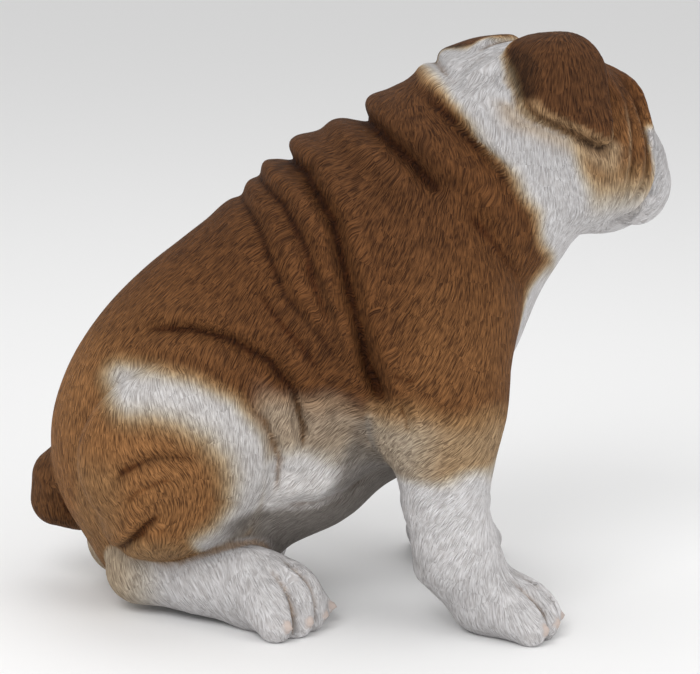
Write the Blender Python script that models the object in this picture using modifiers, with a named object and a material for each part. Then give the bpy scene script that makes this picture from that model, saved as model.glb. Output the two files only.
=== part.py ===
"""Bulldog puppy garden statue, sitting, with its head turned to its left. One cast piece.

The dog faces +X and its left side is +Y. The ground is z = 0. The statue is modelled as a person would
in clay: soft masses are laid together, blended into one skin, and the skin is folded and grooved.
Places and sizes of the masses are shares of the statue's height, in hundredths, so one unit is 3.8 mm.
"""
import math
from collections import namedtuple

import bmesh
import bpy
import numpy as np
from mathutils import Matrix

NODE = "bulldog"
HEIGHT = 0.380          # top of the ear above the ground, in metres
UNIT = HEIGHT / 100     # every figure below without a unit is in these
SHIFT = (-0.19, -3.58)  # moves the sculpture so that the origin is below the middle of its box

SKIN_VOXEL = 0.0030     # spacing of the first skin, in metres
SKIN_TRIANGLES = 9300   # what the finished skin keeps
SETTLE_STEPS = 5        # times each point of the skin steps towards the sculpted surface in a round
SETTLE_ROUNDS = 3       # rounds of that, with the skin evened out between them
LONGEST_STEP = 1.5      # how far one of those steps may go
PROBE = 1.2             # how far each side of a point its way in or out is felt for
GROUND_DEPTH = 8.0      # thickness of the slab that cuts the underside flat

HEAD_PLACE = (31.5, 1.0, 83.0)
HEAD_TURN = (-8.0, 0, 35.0)  # degrees: tilted, and the nose turned towards the dog's left

# A soft mass: middle, half-lengths, turn about X, Y, Z in degrees, and how widely it blends into the rest.
Mass = namedtuple("Mass", "middle half turn blend")
# A limb: points along its middle, radius at each, and its blend.
Limb = namedtuple("Limb", "points radii blend")
# A fold seen from the side: its line (x, z), the groove's half-width and depth, the swell behind and
# ahead of it, the shares of its length over which it fades in and out, and the span of |y| it crosses.
Fold = namedtuple("Fold", "line width depth swell fade span")
# How a left limb differs from the right one's mirror image: set back, and turned outwards about a point.
Stance = namedtuple("Stance", "back turn about")

LEFT_FORE = Stance(-3.4, 0, (16, -17))
LEFT_PAW = Stance(0.2, -60, (17.5, -17.5))
LEFT_HIND = Stance(1.5, 0, (-34, -8))
LEFT_FOOT = Stance(3.5, -16, (-34, -8))

TRUNK = {
    "rump": Mass((-27.4, 0, 28), (23.3, 19.5, 25), (0, 0, 0), 6),
    "seat": Mass((-27, 0, 9), (14, 13, 10.5), (0, 0, 0), 6),
    "loin": Mass((-16, 0, 43.5), (26, 19.5, 23), (0, -42, 0), 10),
    "ribcage": Mass((2, 0, 54), (24, 20.5, 24.5), (0, -40, 0), 10),
    "withers": Mass((-0.5, 0, 65), (15, 15, 16), (0, -20, 0), 8),
    "paunch": Mass((-9, 0, 32), (16, 15, 19.5), (0, -20, 0), 8),
    "brisket": Mass((7.5, 0, 42), (12.2, 14.5, 18), (0, -10, 0), 8),
    "forechest": Mass((15, 0, 54.5), (15, 14, 16.5), (0, 10, 0), 8),
    "nape": Mass((15, 0, 74), (17, 17, 19.1), (0, 25, 0), 8),
    "neck": Mass((24, 0.5, 74), (16.4, 16, 22), (0, 28, 0), 8),
}

SHOULDER = {
    "shoulder": Mass((12.6, -13, 52.5), (13.8, 9.5, 17.5), (0, -8, 0), 8),
    "arm": Mass((14.4, -16.5, 40), (9.0, 8, 13.5), (0, 0, 0), 6),
    "elbow": Mass((9, -16.5, 38), (4.5, 5, 7), (0, 0, 0), 5),
}
FORE_LEG = Limb([(15, -17, 36), (15.6, -17.3, 22), (17.9, -17.4, 13)], [8.5, 7.3, 6.3], 4)
PAW = {
    "paw": Mass((26.5, -18, 4.6), (8.8, 7.4, 5.6), (0, 10, -14), 2.5),
    "wrist_pad": Mass((13.4, -17, 10.6), (2.4, 3, 2.4), (0, 30, 0), 1.5),
}
PASTERN = Limb([(17.9, -17.4, 13), (22.5, -17.8, 6)], [6.3, 5.9], 4)
FORE_TOES = {"root": (27, -18), "heading": -14, "reach": 5.6, "spread": 3.4, "radius": 2.9,
             "height": 5.2}

THIGH = {
    "thigh": Mass((-28.9, -17.2, 30.2), (17, 8.8, 15), (0, -20, 8), 1.6),
    "calf": Mass((-29.5, -13.5, 20), (12.5, 9.5, 8.5), (0, -20, 14), 3),
}
FOOT = {
    "hock": Mass((-35, -9.5, 9), (5.5, 5, 6.5), (0, 30, 0), 4),
    "foot": Mass((-13, -16.2, 5.4), (9.3, 7.6, 6.6), (0, 0, -34), 2.5),
}
HEEL = Limb([(-34, -8, 6.2), (-25, -12.5, 6.6), (-17, -15.5, 6.8)], [4.6, 5.8, 6.6], 3)
HIND_TOES = {"root": (-12.4, -16.8), "heading": -34, "reach": 5.3, "spread": 3.5, "radius": 3.1,
             "height": 6.0}

TAIL = Limb([(-45, 2, 24), (-49.2, 4.5, 20), (-49.6, 6, 15.5), (-46, 7, 14)], [5, 4.9, 4.8, 4.4], 1.2)

HEAD = {
    "skull": Mass((-3, 0, 0.5), (16, 14.6, 13.6), (0, 0, 0), 5),
    "ear_root": Mass((-3.5, 9.8, 7.8), (8.5, 5.2, 5.6), (0, 0, 0), 4),
    "brow": Mass((9, 6, 4), (6.5, 6.5, 5), (0, 0, 0), 4),
    "cheek": Mass((4, 8.0, -5.5), (12.5, 8.5, 11), (0, 0, 0), 5),
    "muzzle": Mass((13.0, 0, -5.5), (7.5, 8.5, 7.5), (0, 0, 0), 4),
    "flew": Mass((15.6, 5.8, -10), (6.8, 5.6, 7.8), (0, 0, 0), 1.0),
    "chin": Mass((14.5, 0, -14.6), (8.6, 5.6, 4.4), (0, -8, 0), 0.8),
    "nose_roll": Mass((15.5, 0, 1.6), (4.5, 5.5, 3.4), (0, 0, 0), 2),
    "nose": Mass((21.0, 0, -1.8), (3.0, 4.4, 3.1), (0, 0, 0), 1),
}
EYE = Mass((14.4, 6.9, 1.4), (2.3, 2.3, 2.1), (0, 0, 0), 0.3)
EAR = [(-13.2, 9.5), (-13.8, 3.0), (-1.2, -3.8), (0.2, 3), (0.4, 13), (-2.5, 20), (-9, 20), (-11.4, 14)]
EAR_LIFT = 2.0          # how far the ear's flap stands off the head at its root
EAR_DROOP = 0.7         # how much further its lower edge does
EAR_SPAN = 3.5          # the flap starts this far out from the middle of the head
EAR_CREASE = 0.8        # depth of the crease around the flap

FOLDS = [
    # the long crease behind the shoulder, from the back to the elbow, and the rolls behind it
    Fold([(-13, 77.6), (-8.7, 75.4), (-4.7, 69.2), (-1.3, 56.8), (1.8, 45.8), (5.5, 38)],
         1.4, 2.2, (0.7, 1.3), (0.0, 0.12), (0, 40)),
    Fold([(-17, 74.5), (-12.4, 70.8), (-9.2, 65.5), (-5, 56), (-1.2, 44.5)],
         1.5, 1.1, (0.5, 0.5), (0.0, 0.3), (0, 40)),
    Fold([(-20, 71.5), (-16.4, 67.2), (-12.2, 57), (-6.3, 50.5), (-0.8, 42.5)],
         1.5, 0.9, (0.4, 0.4), (0.0, 0.25), (0, 40)),
    # the rolls of the neck
    Fold([(-4, 87.6), (0.3, 84.4), (4.2, 81.9), (8, 78.9), (11.2, 75.6), (14.4, 72.8)],
         1.4, 2.0, (0.9, 1.1), (0.0, 0.25), (0, 40)),
    Fold([(5, 91.5), (10.9, 88.4), (15.2, 84.9), (22, 78.3), (27.2, 71.5), (28.3, 65)],
         1.5, 1.3, (1.2, 0.3), (0.35, 0.5), (0, 40)),
    # around the thigh
    Fold([(-38.5, 47.6), (-33.3, 49.8), (-27.1, 50.5), (-20.9, 49.4), (-14.5, 46.2), (-10.3, 41),
          (-8.6, 35), (-8.5, 29)], 1.1, 1.2, (0.5, 0.5), (0.25, 0.15), (9, 40)),
]
THIGH_FOLDS = [
    Fold([(-41.3, 24.8), (-37.6, 28.7), (-33.6, 30.9), (-29.4, 31.3), (-23.9, 30.2)],
         1.2, 0.9, (0.3, 0.3), (0.3, 0.3), (15, 40)),
    Fold([(-39.2, 12.3), (-36.7, 15.5), (-34.1, 19.3), (-30.7, 22.1)],
         0.9, 1.2, (0.2, 0.4), (0.2, 0.3), (8, 40)),
]
# The same for the head seen from its own side, and for the face seen from the front, as (left, up).
HEAD_FOLDS = [
    Fold([(11, 11), (13, 5), (14, -3), (13, -10), (10.5, -17)], 1.2, 1.2, (0.5, 0.5), (0.2, 0.2), (10, 30)),
    Fold([(6.5, 10), (8.5, 4), (9.5, -3), (9, -10), (6, -15)], 1.2, 0.8, (0.4, 0.4), (0.2, 0.2), (10, 30)),
]
FACE_FOLDS = [
    Fold([(0, 3.4), (3.4, 2.4), (5.4, -1.6), (8.4, -5.5), (10, -11)],
         1.0, 1.0, (0.4, 0.4), (0, 0.3), (8, 60)),
    Fold([(0, 15), (0, 6)], 1.2, 1.1, (0.3, 0.3), (0.4, 0.3), (4, 60)),
    Fold([(1.5, 7.4), (5, 8.4), (9.5, 6.8)], 1.1, 0.8, (0.4, 0.4), (0.3, 0.3), (4, 60)),
    Fold([(0, -4.5), (0, -11)], 0.9, 1.3, (0.2, 0.2), (0.1, 0.1), (10, 60)),
    Fold([(0, -11), (3, -12.4), (6.2, -15.8)], 0.9, 1.4, (0.2, 0.2), (0, 0.2), (10, 60)),
]


def turn_matrix(turn):
    """Rotation about X, then Y, then Z, as a 3 by 3 array."""
    x, y, z = (math.radians(t) for t in turn)
    return np.array(Matrix.Rotation(z, 3, "Z") @ Matrix.Rotation(y, 3, "Y") @ Matrix.Rotation(x, 3, "X"))


def mass_distance(points, mass):
    """About how far each point is outside the mass, which is an ellipsoid."""
    q = (points - mass.middle) @ turn_matrix(mass.turn)
    half = np.array(mass.half, float)
    reach = np.linalg.norm(q / half, axis=1)
    slope = np.linalg.norm(q / half ** 2, axis=1)
    return reach * (reach - 1) / np.maximum(slope, 1e-9)


def limb_distance(points, limb):
    """Distance outside a chain of tapered round rods."""
    found = np.full(len(points), 1e9)
    ends = [np.array(p, float) for p in limb.points]
    for a, b, ra, rb in zip(ends, ends[1:], limb.radii, limb.radii[1:]):
        along = b - a
        share = np.clip((points - a) @ along / (along @ along), 0, 1)
        away = np.linalg.norm(points - a - share[:, None] * along, axis=1)
        found = np.minimum(found, away - (ra + share * (rb - ra)))
    return found


def blended(one, other, width, side=1):
    """The nearer of two distances, or with side -1 the further, with a fillet where they are alike."""
    near = np.maximum(width - np.abs(one - other), 0) / width
    return side * (np.minimum(side * one, side * other) - near * near * width / 4)


def toe_limbs(toes):
    """Four short rods fanned round the front of a paw, with the middle two reaching further."""
    x, y = toes["root"]
    heading = math.radians(toes["heading"])
    for place in (-1.5, -0.5, 0.5, 1.5):
        aim = heading + math.radians(9 * place)
        across = (-math.sin(heading) * toes["spread"] * place, math.cos(heading) * toes["spread"] * place)
        reach = toes["reach"] - 1.1 * (abs(place) - 0.5) ** 1.5
        start = (x + across[0], y + across[1], toes["height"] - 0.4)
        tip = (start[0] + reach * math.cos(aim), start[1] + reach * math.sin(aim), toes["radius"] - 0.6)
        yield Limb([start, tip], [toes["radius"], toes["radius"] - 0.2], 0.9)


def inside_corners(seen, corners):
    """How far points lie outside a convex outline whose corners run clockwise or not, by its edges."""
    middle = np.mean(corners, axis=0)
    outline = np.full(len(seen), -1e9)
    for a, b in zip(corners, np.roll(corners, -1, axis=0)):
        out = np.array([b[1] - a[1], a[0] - b[0]]) / np.linalg.norm(b - a)
        out *= np.sign((a - middle) @ out)
        outline = blended(outline, (seen - a) @ out, 2, -1)
    return outline


def head_frame(points):
    """Points as the head sees them: X to the nose, Z up, and its two sides folded onto one."""
    q = (points - HEAD_PLACE) @ turn_matrix(HEAD_TURN)
    return np.column_stack([q[:, 0], np.sqrt(q[:, 1] ** 2 + 1e-4), q[:, 2]])


def face_distance(q):
    """The head without its ears."""
    found = mass_distance(q, HEAD["skull"])
    for name in ("ear_root", "brow", "cheek", "muzzle", "chin", "flew", "nose_roll", "nose"):
        found = blended(found, mass_distance(q, HEAD[name]), HEAD[name].blend)
    for fold in HEAD_FOLDS:
        found = found - fold_height(q, fold)
    for fold in FACE_FOLDS:
        found = found - fold_height(q[:, [1, 0, 2]], fold)
    eye = mass_distance(q, EYE)
    return blended(found + 0.7 * np.exp(-((eye - 0.6) / 0.9) ** 2), eye, EYE.blend)


def ear_outline(q):
    """How far points lie outside the ear's edge, seen from the side of the head."""
    return inside_corners(q[:, [0, 2]], np.array(EAR, float))


def ear_distance(q, face):
    """A flap laid on the head, cut to the ear's outline."""
    lift = EAR_LIFT + EAR_DROOP * ramp(-q[:, 2], -7, 2)
    flap = blended(ear_outline(q), face - lift, 1.4, -1)
    return blended(flap, EAR_SPAN - q[:, 1], 1.5, -1)


def head_distance(points):
    q = head_frame(points)
    face = face_distance(q)
    crease = EAR_CREASE * np.exp(-((ear_outline(q) - 0.6) / 0.9) ** 2)
    crease = crease * ramp(q[:, 1], EAR_SPAN, EAR_SPAN + 3)
    return blended(face + crease, ear_distance(q, face), 0.5)


def on_the_right(points, stance):
    """Left points brought to where the right limb is written; right points unchanged."""
    left = points[:, 1] > 0
    turned = points * (1, -1, 1) + (stance.back, 0, 0)
    if stance.turn:
        pivot = np.array([*stance.about, 0.0])
        turned = (turned - pivot) @ turn_matrix((0, 0, stance.turn)) + pivot
    return np.where(left[:, None], turned, points)


def line_place(points, line):
    """Signed distance from a line of (x, z) points, positive ahead of it, and the share along it."""
    ends = np.array(line, float)
    lengths = np.linalg.norm(np.diff(ends, axis=0), axis=1)
    before = np.concatenate([[0], np.cumsum(lengths)])
    seen = points[:, [0, 2]]
    best, share, sign = np.full(len(seen), 1e9), np.zeros(len(seen)), np.ones(len(seen))
    for i, length in enumerate(lengths):
        along = (ends[i + 1] - ends[i]) / length
        run = np.clip((seen - ends[i]) @ along, 0, length)
        off = seen - ends[i] - run[:, None] * along
        away = np.linalg.norm(off, axis=1)
        nearer = away < best
        best = np.where(nearer, away, best)
        share = np.where(nearer, (before[i] + run) / before[-1], share)
        sign = np.where(nearer, np.sign(along[0] * off[:, 1] - along[1] * off[:, 0]), sign)
    return best * sign, share


def ramp(value, low, high):
    t = np.clip((value - low) / max(high - low, 1e-6), 0, 1)
    return t * t * (3 - 2 * t)


def fold_height(points, fold):
    """How far a fold raises the skin: a groove along the line with a swell on each side."""
    away, share = line_place(points, fold.line)
    groove = -fold.depth * np.exp(-(away / fold.width) ** 2)
    ahead = 0.5 + 0.5 * np.tanh(away / fold.width)
    swell = fold.swell[0] + (fold.swell[1] - fold.swell[0]) * ahead
    rise = swell * np.exp(-((np.abs(away) - 2.6 * fold.width) / (1.6 * fold.width)) ** 2)
    fade = ramp(share, -1e-6, fold.fade[0]) * ramp(1 - share, -1e-6, fold.fade[1])
    y = np.abs(points[:, 1])
    across = ramp(y, fold.span[0] - 3, fold.span[0]) * ramp(-y, -fold.span[1], -fold.span[1] + 2)
    return (groove + rise) * fade * across


def toe_grooves(seen, toes):
    """Three grooves from above, between the four toes, that deepen towards the front."""
    heading = math.radians(toes["heading"])
    offset = seen[:, :2] - toes["root"]
    ahead = offset @ (math.cos(heading), math.sin(heading))
    aside = offset @ (-math.sin(heading), math.cos(heading)) / (1 + 0.03 * np.maximum(ahead, 0))
    near = np.abs(np.abs(aside) - np.where(np.abs(aside) > 0.5 * toes["spread"], toes["spread"], 0))
    return 1.1 * np.exp(-(near / 0.7) ** 2) * ramp(ahead, -1, 5) * ramp(seen[:, 2], 0, 3)


def limb_group(points, stance, masses, rods, found=None, width=None):
    """The blend of some masses and rods, seen on both sides of the dog."""
    seen = on_the_right(points, stance)
    for shape in (*rods, *masses.values()):
        distance = limb_distance(seen, shape) if isinstance(shape, Limb) else mass_distance(seen, shape)
        found = distance if found is None else blended(found, distance, width or shape.blend)
    return found


def statue_distance(points):
    """The whole sculpture as one distance, in units: below zero inside, above zero outside."""
    found = mass_distance(points, TRUNK["rump"])
    for name, mass in list(TRUNK.items())[1:]:
        found = blended(found, mass_distance(points, mass), mass.blend)
    found = blended(found, head_distance(points), 5)
    leg = limb_group(points, LEFT_FORE, SHOULDER, [FORE_LEG])
    leg = limb_group(points, LEFT_PAW, PAW, [PASTERN, *toe_limbs(FORE_TOES)], leg)
    leg = leg + toe_grooves(on_the_right(points, LEFT_PAW), FORE_TOES)
    found = blended(found, leg, 5)
    for fold in FOLDS:
        found = found - fold_height(points, fold)
    thigh = limb_group(points, LEFT_HIND, THIGH, [])
    seen = on_the_right(points, LEFT_HIND)
    for fold in THIGH_FOLDS:
        thigh = thigh - fold_height(seen, fold)
    found = blended(found, thigh, 2)
    foot = limb_group(points, LEFT_FOOT, FOOT, [HEEL, *toe_limbs(HIND_TOES)])
    foot = foot + toe_grooves(on_the_right(points, LEFT_FOOT), HIND_TOES)
    found = blended(found, foot, 1.2)
    return blended(found, limb_distance(points, TAIL), TAIL.blend)


def ball():
    """Points and faces of Blender's own sphere, with a radius of one."""
    bm = bmesh.new()
    bmesh.ops.create_uvsphere(bm, u_segments=24, v_segments=14, radius=1)
    points = np.array([v.co for v in bm.verts])
    faces = [[v.index for v in f.verts] for f in bm.faces]
    bm.free()
    return points, faces


def laid_balls(shape, outer):
    """Where the balls for a mass, or the row of balls that stands for a limb, are laid."""
    if isinstance(shape, Mass):
        turn = Matrix(turn_matrix(shape.turn)).to_4x4()
        yield outer @ Matrix.Translation(shape.middle) @ turn @ Matrix.Diagonal((*shape.half, 1))
        return
    for a, b, ra, rb in zip(shape.points, shape.points[1:], shape.radii, shape.radii[1:]):
        a, b = np.array(a, float), np.array(b, float)
        for step in np.linspace(0, 1, 2 + int(np.linalg.norm(b - a) / (0.6 * min(ra, rb)))):
            place = Matrix.Translation(a + step * (b - a))
            yield outer @ place @ Matrix.Diagonal((*[ra + step * (rb - ra)] * 3, 1))


def stance_matrix(stance):
    """The move from where the right limb is written to where the left one stands."""
    pivot = Matrix.Translation((*stance.about, 0))
    turned = pivot @ Matrix.Rotation(math.radians(stance.turn), 4, "Z") @ pivot.inverted()
    return Matrix.Diagonal((1, -1, 1, 1)) @ Matrix.Translation((-stance.back, 0, 0)) @ turned


def rough_skin():
    """All the masses joined into one closed skin by a voxel remesh."""
    head = Matrix.Translation(HEAD_PLACE) @ Matrix(turn_matrix(HEAD_TURN)).to_4x4()
    ear = Mass((-8, 12.5, 9), (7.5, 3.5, 8), (-16, 0, 0), 0)
    groups = [(TRUNK.values(), [Matrix()]), ([TAIL], [Matrix()]),
              ([*HEAD.values(), ear], [head, head @ Matrix.Diagonal((1, -1, 1, 1))])]
    for shapes, stance in (((*SHOULDER.values(), FORE_LEG), LEFT_FORE), (THIGH.values(), LEFT_HIND),
                           ((*PAW.values(), PASTERN, *toe_limbs(FORE_TOES)), LEFT_PAW),
                           ((*FOOT.values(), HEEL, *toe_limbs(HIND_TOES)), LEFT_FOOT)):
        groups.append((shapes, [Matrix(), stance_matrix(stance)]))
    unit_points, unit_faces = ball()
    points, faces = [], []
    for shapes, sides in groups:
        for shape in shapes:
            for outer in sides:
                for place in laid_balls(shape, outer):
                    start = len(points) * len(unit_points)
                    place = np.array(place)
                    points.append(unit_points @ place[:3, :3].T + place[:3, 3])
                    faces += [[start + i for i in face] for face in unit_faces]
    mesh = bpy.data.meshes.new("rough")
    mesh.from_pydata(np.concatenate(points) * UNIT, [], faces)
    rough = bpy.data.objects.new("rough", mesh)
    bpy.context.collection.objects.link(rough)
    remesh = rough.modifiers.new("one skin", "REMESH")
    remesh.mode = "VOXEL"
    remesh.voxel_size = SKIN_VOXEL
    graph = bpy.context.evaluated_depsgraph_get()
    skin = bpy.data.meshes.new_from_object(rough.evaluated_get(graph))
    bpy.data.objects.remove(rough)
    bpy.data.meshes.remove(mesh)
    return skin


def settle(points):
    """Steps the points straight in or out until they lie on the sculpted surface."""
    way = np.column_stack([statue_distance(points + PROBE * axis) - statue_distance(points - PROBE * axis)
                           for axis in np.eye(3)])
    way /= np.linalg.norm(way, axis=1)[:, None] + 1e-9
    for _ in range(SETTLE_STEPS):
        step = np.clip(0.9 * statue_distance(points), -LONGEST_STEP, LONGEST_STEP)
        points = points - step[:, None] * way
    return points


def evened(points, edges):
    """Each point moved half-way to the middle of its neighbours."""
    total = np.zeros_like(points)
    count = np.zeros(len(points))
    for here, there in (edges.T, edges.T[::-1]):
        np.add.at(total, here, points[there])
        np.add.at(count, here, 1)
    return 0.5 * points + 0.5 * total / count[:, None]


def sculpted_skin():
    skin = rough_skin()
    points = np.empty(len(skin.vertices) * 3)
    skin.vertices.foreach_get("co", points)
    edges = np.empty(len(skin.edges) * 2, int)
    skin.edges.foreach_get("vertices", edges)
    points = settle(points.reshape(-1, 3) / UNIT)
    for _ in range(SETTLE_ROUNDS - 1):
        points = settle(evened(points, edges.reshape(-1, 2)))
    points = (points + (*SHIFT, 0)) * UNIT
    skin.vertices.foreach_set("co", points.ravel())
    skin.update()
    return skin


def ground_slab():
    """A slab whose top is the ground, which cuts the feet and the seat flat."""
    bm = bmesh.new()
    place = Matrix.Translation((0, 0, -GROUND_DEPTH / 2)) @ Matrix.Diagonal((160, 120, GROUND_DEPTH, 1))
    bmesh.ops.create_cube(bm, size=1, matrix=place)
    bmesh.ops.scale(bm, vec=(UNIT,) * 3, verts=bm.verts)
    mesh = bpy.data.meshes.new("ground slab")
    bm.to_mesh(mesh)
    bm.free()
    slab = bpy.data.objects.new("ground slab", mesh)
    slab.hide_render = True
    slab.display_type = "WIRE"
    cutters = bpy.data.collections.new("cutters")
    bpy.context.scene.collection.children.link(cutters)
    cutters.objects.link(slab)
    return slab


def painted_resin():
    material = bpy.data.materials.new("painted_resin")
    material.use_nodes = True
    shader = material.node_tree.nodes["Principled BSDF"]
    shader.inputs["Base Color"].default_value = (0.33, 0.17, 0.08, 1)
    shader.inputs["Roughness"].default_value = 0.75
    return material


def main():
    for obj in list(bpy.data.objects):
        bpy.data.objects.remove(obj)
    bpy.context.scene.unit_settings.scale_length = 1.0
    statue = bpy.data.objects.new(NODE, sculpted_skin())
    parts = bpy.data.collections.new(NODE)
    bpy.context.scene.collection.children.link(parts)
    parts.objects.link(statue)
    thinned = statue.modifiers.new("fewer triangles", "DECIMATE")
    thinned.ratio = SKIN_TRIANGLES / (2 * len(statue.data.polygons))
    cut = statue.modifiers.new("flat underside", "BOOLEAN")
    cut.operation = "DIFFERENCE"
    cut.solver = "EXACT"
    cut.object = ground_slab()
    statue.data.materials.append(painted_resin())


if __name__ == "__main__":
    main()
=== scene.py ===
# Looks of the bulldog puppy garden statue: one painted casting with carved fur, on a pale floor.
# The sculpture is the same clay-like field as the CAD solid, with finer carving, in units of 3.8 mm.
import itertools
import math
from collections import namedtuple
from types import SimpleNamespace

import bpy
import numpy as np
from mathutils import Matrix, Vector


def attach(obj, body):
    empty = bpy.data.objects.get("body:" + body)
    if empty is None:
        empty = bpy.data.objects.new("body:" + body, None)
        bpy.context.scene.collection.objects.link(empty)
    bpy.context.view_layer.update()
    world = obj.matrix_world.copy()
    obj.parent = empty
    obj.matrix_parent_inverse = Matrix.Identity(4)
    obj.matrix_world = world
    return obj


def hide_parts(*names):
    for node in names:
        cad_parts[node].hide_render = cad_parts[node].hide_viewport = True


statueHeight = 0.380          # top of the ear above the ground, in metres
unit = statueHeight / 100     # every figure below without a unit is in these
originShift = (-0.19, -3.58)  # moves the sculpture so that the origin is below the middle of its box

headPlace = (31.5, 1.0, 83.0)
headTurn = (-8.0, 0, 35.0)  # degrees: tilted, and the nose turned towards the dog's left

# A soft mass: middle, half-lengths, turn about X, Y, Z in degrees, and how widely it blends into the rest.
Mass = namedtuple("Mass", "middle half turn blend")
# A limb: points along its middle, radius at each, and its blend.
Limb = namedtuple("Limb", "points radii blend")
# A fold seen from the side: its line (x, z), the groove's half-width and depth, the swell behind and
# ahead of it, the shares of its length over which it fades in and out, and the span of |y| it crosses.
Fold = namedtuple("Fold", "line width depth swell fade span")
# How a left limb differs from the right one's mirror image: set back, and turned outwards about a point.
Stance = namedtuple("Stance", "back turn about")

leftFore = Stance(-3.4, 0, (16, -17))
leftPaw = Stance(0.2, -60, (17.5, -17.5))
leftHind = Stance(1.5, 0, (-34, -8))
leftFoot = Stance(3.5, -16, (-34, -8))

trunkMasses = {
    "rump": Mass((-27.4, 0, 28), (23.3, 19.5, 25), (0, 0, 0), 6),
    "seat": Mass((-27, 0, 9), (14, 13, 10.5), (0, 0, 0), 6),
    "loin": Mass((-16, 0, 43.5), (26, 19.5, 23), (0, -42, 0), 10),
    "ribcage": Mass((2, 0, 54), (24, 20.5, 24.5), (0, -40, 0), 10),
    "withers": Mass((-0.5, 0, 65), (15, 15, 16), (0, -20, 0), 8),
    "paunch": Mass((-9, 0, 32), (16, 15, 19.5), (0, -20, 0), 8),
    "brisket": Mass((7.5, 0, 42), (12.2, 14.5, 18), (0, -10, 0), 8),
    "forechest": Mass((15, 0, 54.5), (15, 14, 16.5), (0, 10, 0), 8),
    "nape": Mass((15, 0, 74), (17, 17, 19.1), (0, 25, 0), 8),
    "neck": Mass((24, 0.5, 74), (16.4, 16, 22), (0, 28, 0), 8),
}

shoulderMasses = {
    "shoulder": Mass((12.6, -13, 52.5), (13.8, 9.5, 17.5), (0, -8, 0), 8),
    "arm": Mass((14.4, -16.5, 40), (9.0, 8, 13.5), (0, 0, 0), 6),
    "elbow": Mass((9, -16.5, 38), (4.5, 5, 7), (0, 0, 0), 5),
}
foreLegRod = Limb([(15, -17, 36), (15.6, -17.3, 22), (17.9, -17.4, 13)], [8.5, 7.3, 6.3], 4)
pawMasses = {
    "paw": Mass((26.5, -18, 4.6), (8.8, 7.4, 5.6), (0, 10, -14), 2.5),
    "wristPad": Mass((13.4, -17, 10.6), (2.4, 3, 2.4), (0, 30, 0), 1.5),
}
pasternRod = Limb([(17.9, -17.4, 13), (22.5, -17.8, 6)], [6.3, 5.9], 4)
foreToes = {"root": (27, -18), "heading": -14, "reach": 5.6, "spread": 3.4, "radius": 2.9,
             "height": 5.2}

thighMasses = {
    "thigh": Mass((-28.9, -17.2, 30.2), (17, 8.8, 15), (0, -20, 8), 1.6),
    "calf": Mass((-29.5, -13.5, 20), (12.5, 9.5, 8.5), (0, -20, 14), 3),
}
footMasses = {
    "hock": Mass((-35, -9.5, 9), (5.5, 5, 6.5), (0, 30, 0), 4),
    "foot": Mass((-13, -16.2, 5.4), (9.3, 7.6, 6.6), (0, 0, -34), 2.5),
}
heelRod = Limb([(-34, -8, 6.2), (-25, -12.5, 6.6), (-17, -15.5, 6.8)], [4.6, 5.8, 6.6], 3)
hindToes = {"root": (-12.4, -16.8), "heading": -34, "reach": 5.3, "spread": 3.5, "radius": 3.1,
             "height": 6.0}

tailRod = Limb([(-45, 2, 24), (-49.2, 4.5, 20), (-49.6, 6, 15.5), (-46, 7, 14)], [5, 4.9, 4.8, 4.4], 1.2)

headMasses = {
    "skull": Mass((-3, 0, 0.5), (16, 14.6, 13.6), (0, 0, 0), 5),
    "earRoot": Mass((-3.5, 9.8, 7.8), (8.5, 5.2, 5.6), (0, 0, 0), 4),
    "brow": Mass((9, 6, 4), (6.5, 6.5, 5), (0, 0, 0), 4),
    "cheek": Mass((4, 8.0, -5.5), (12.5, 8.5, 11), (0, 0, 0), 5),
    "muzzle": Mass((13.0, 0, -5.5), (7.5, 8.5, 7.5), (0, 0, 0), 4),
    "flew": Mass((15.6, 5.8, -10), (6.8, 5.6, 7.8), (0, 0, 0), 1.0),
    "chin": Mass((14.5, 0, -14.6), (8.6, 5.6, 4.4), (0, -8, 0), 0.8),
    "noseRoll": Mass((15.5, 0, 1.6), (4.5, 5.5, 3.4), (0, 0, 0), 2),
    "nose": Mass((21.0, 0, -1.8), (3.0, 4.4, 3.1), (0, 0, 0), 1),
}
eyeMass = Mass((14.4, 6.9, 1.4), (2.3, 2.3, 2.1), (0, 0, 0), 0.3)
earCorners = [(-13.2, 9.5), (-13.8, 3.0), (-1.2, -3.8), (0.2, 3), (0.4, 13), (-2.5, 20), (-9, 20),
              (-11.4, 14)]
earLift = 2.0          # how far the ear's flap stands off the head at its root
earDroop = 0.7         # how much further its lower edge does
earSpan = 3.5          # the flap starts this far out from the middle of the head
earCrease = 0.8        # depth of the crease around the flap

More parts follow.
